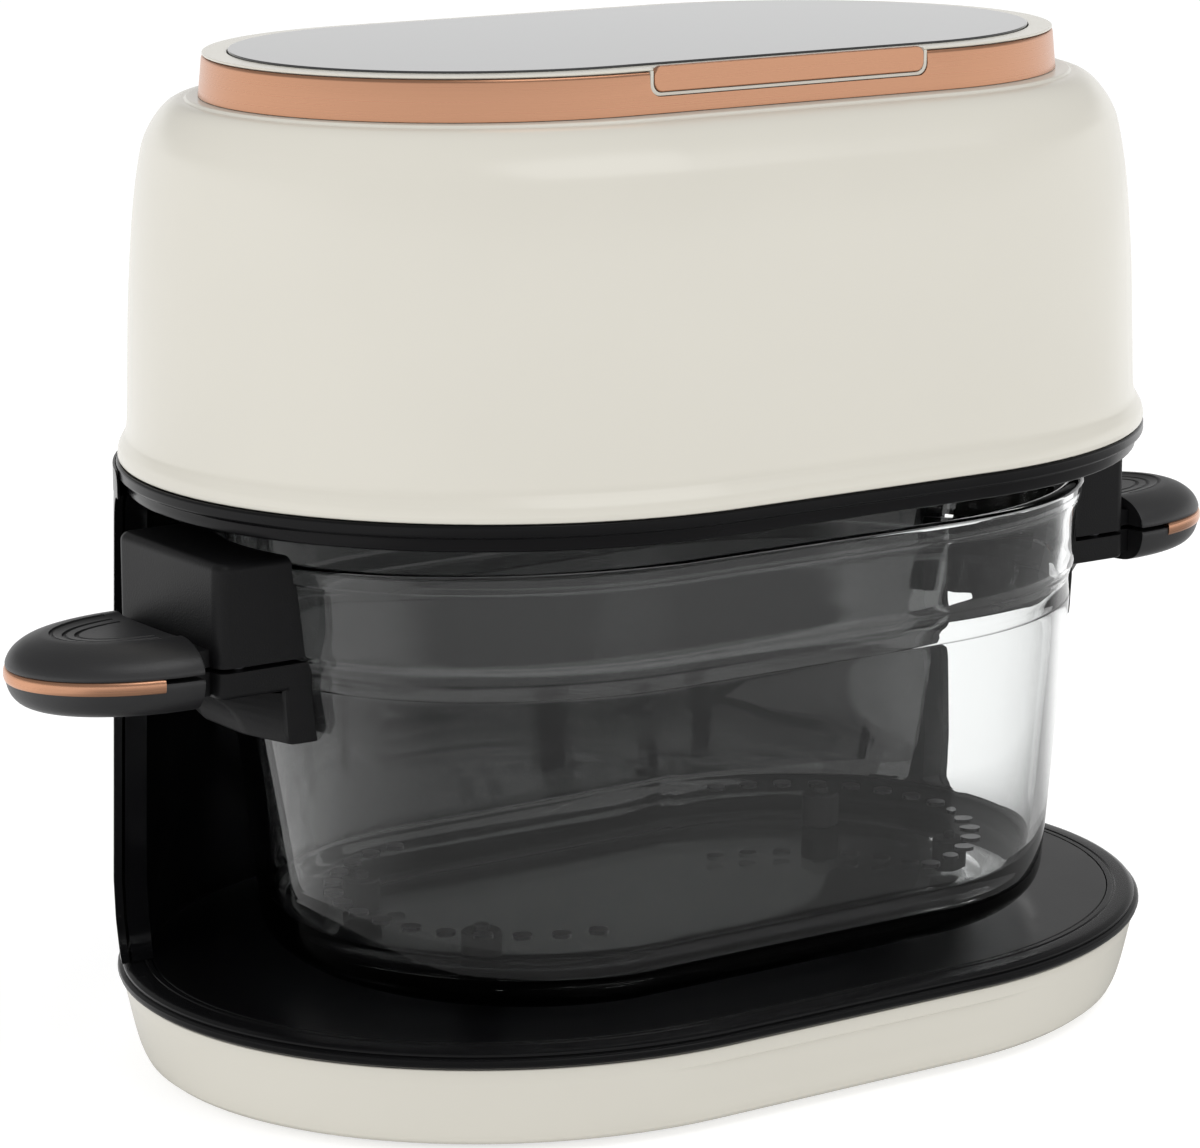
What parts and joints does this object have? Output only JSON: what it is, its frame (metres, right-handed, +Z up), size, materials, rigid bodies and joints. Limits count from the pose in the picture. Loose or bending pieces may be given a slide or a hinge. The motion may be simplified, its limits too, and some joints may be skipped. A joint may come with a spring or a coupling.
{
  "type": "glass bowl countertop cooker",
  "caption": "Oval countertop cooker: cream base and head joined by a black rear spine, clear glass bowl with black side handles and a crisper plate, rose gold band round a touch panel.",
  "frame": {"origin": "centre of the bounding box at the resting plane under the feet", "axes": "+X along the long axis over the two handles, -Y to the front with the control plate, +Z up"},
  "size_m": [0.4384, 0.229, 0.3066],
  "materials": {
    "black_rubber": "matte",
    "bright_steel": "satin",
    "circuit_board": "solder mask",
    "clear_glass": "clear",
    "cream_shell": "gloss",
    "dark_steel": "satin",
    "gloss_black": "high gloss",
    "non_stick": "non-stick coating",
    "rose_gold": "satin rose gold",
    "satin_black": "satin",
    "soft_grip": "fine grain matte",
    "touch_panel_glass": "gloss black",
    "white_plastic": "matte"
  },
  "bodies": {
    "housing": {"base_screw_back_left": "dark_steel", "base_screw_back_right": "dark_steel", "base_screw_front_left": "dark_steel", "base_screw_front_right": "dark_steel", "base_shell": "cream_shell", "base_trim": "gloss_black", "bottom_plate": "satin_black", "bowl_sensor": "white_plastic", "control_board": "circuit_board", "copper_band": "rose_gold", "copper_plate": "rose_gold", "cord_gland": "black_rubber", "crown_rim": "cream_shell", "deck_plate": "satin_black", "element_guard": "dark_steel", "fan_motor": "dark_steel", "foot_back_left": "black_rubber", "foot_back_right": "black_rubber", "foot_front_left": "black_rubber", "foot_front_right": "black_rubber", "head_chassis": "satin_black", "head_shell": "cream_shell", "head_trim": "gloss_black", "head_underpan": "satin_black", "heating_element": "dark_steel", "mains_riser": "black_rubber", "motor_bracket": "bright_steel", "power_board": "circuit_board", "reflector_dish": "bright_steel", "spine_back_cover": "gloss_black", "spine_inner_panel": "gloss_black", "thermal_cutout": "white_plastic", "touch_glass": "touch_panel_glass"},
    "bowl": {"bracket_lower_left": "soft_grip", "bracket_lower_right": "soft_grip", "bracket_screw_left_back": "dark_steel", "bracket_screw_left_front": "dark_steel", "bracket_screw_right_back": "dark_steel", "bracket_screw_right_front": "dark_steel", "bracket_upper_left": "soft_grip", "bracket_upper_right": "soft_grip", "glass_bowl": "clear_glass", "grip_inlay_left": "rose_gold", "grip_inlay_right": "rose_gold", "grip_lower_left": "soft_grip", "grip_lower_right": "soft_grip", "grip_screw_left": "dark_steel", "grip_screw_right": "dark_steel", "grip_upper_left": "soft_grip", "grip_upper_right": "soft_grip"},
    "crisper": {"crisper_foot_back_left": "black_rubber", "crisper_foot_back_right": "black_rubber", "crisper_foot_front_left": "black_rubber", "crisper_foot_front_right": "black_rubber", "crisper_plate": "non_stick"},
    "fan": {"cooling_fan": "white_plastic", "hot_air_fan": "bright_steel", "motor_shaft": "bright_steel"}
  },
  "joints": [
    {"name": "bowl_slide", "type": "slide", "parent": "housing", "child": "bowl", "axis": [0, -1, 0], "range_m": [0, 0.26]},
    {"name": "crisper_lift", "type": "slide", "parent": "bowl", "child": "crisper", "axis": [0, 0, 1], "range_m": [0, 0.1]},
    {"name": "fan_spin", "type": "hinge", "parent": "housing", "child": "fan", "pos_m": [0, -0.004, 0.24], "axis": [0, 0, 1], "continuous": true}
  ]
}
